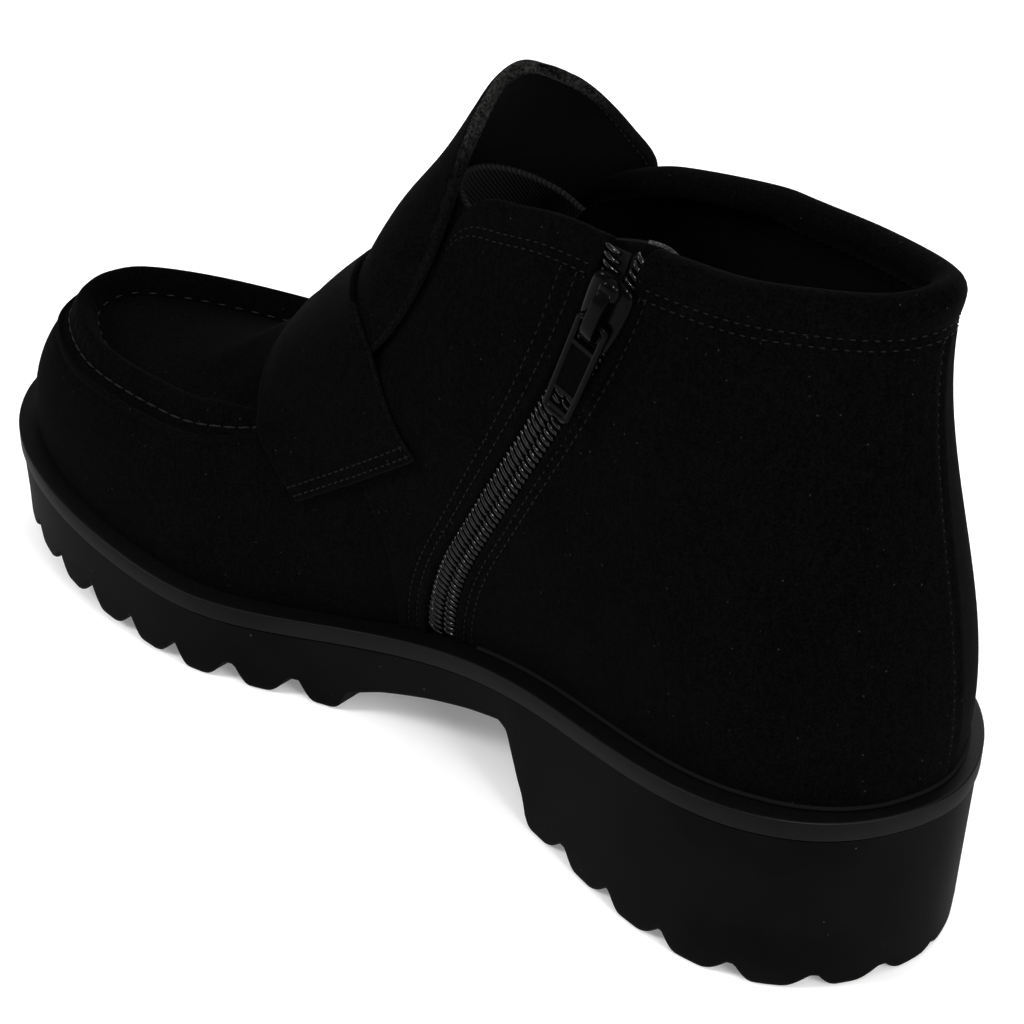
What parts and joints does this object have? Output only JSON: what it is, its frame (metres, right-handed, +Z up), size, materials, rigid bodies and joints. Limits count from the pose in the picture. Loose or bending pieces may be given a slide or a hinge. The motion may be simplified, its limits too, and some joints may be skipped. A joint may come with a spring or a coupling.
{
  "type": "loafer bootie",
  "caption": "Right suede loafer bootie with a moccasin apron, saddle strap, raised tongue, elastic gore, medial zip and a lugged rubber sole with a block heel.",
  "frame": {"origin": "centre of the bounding box on the floor, at the bottom of the lugs", "axes": "+X to the toe, +Y to the medial side, +Z up"},
  "size_m": [0.2866, 0.098, 0.1702],
  "materials": {
    "suede": "napped suede",
    "lining": "matte",
    "elastic": "ribbed knit",
    "welt": "satin",
    "sole": "matte",
    "coil": "gunmetal gloss",
    "zip_metal": "gunmetal gloss"
  },
  "bodies": {
    "shoe": {"outsole": "sole", "welt": "welt", "insole": "lining", "upper": "suede", "tongue": "suede", "strap": "suede", "gore": "elastic", "zip_chain": "coil", "zip_slider": "zip_metal"},
    "pull": {"zip_pull": "zip_metal"}
  },
  "joints": [
    {"name": "pull_hinge", "type": "hinge", "parent": "shoe", "child": "pull", "pos_m": [-0.06198, 0.03241, 0.14296], "axis": [0.9512, -0.0073, 0.3086], "range_deg": [0, 140]}
  ]
}
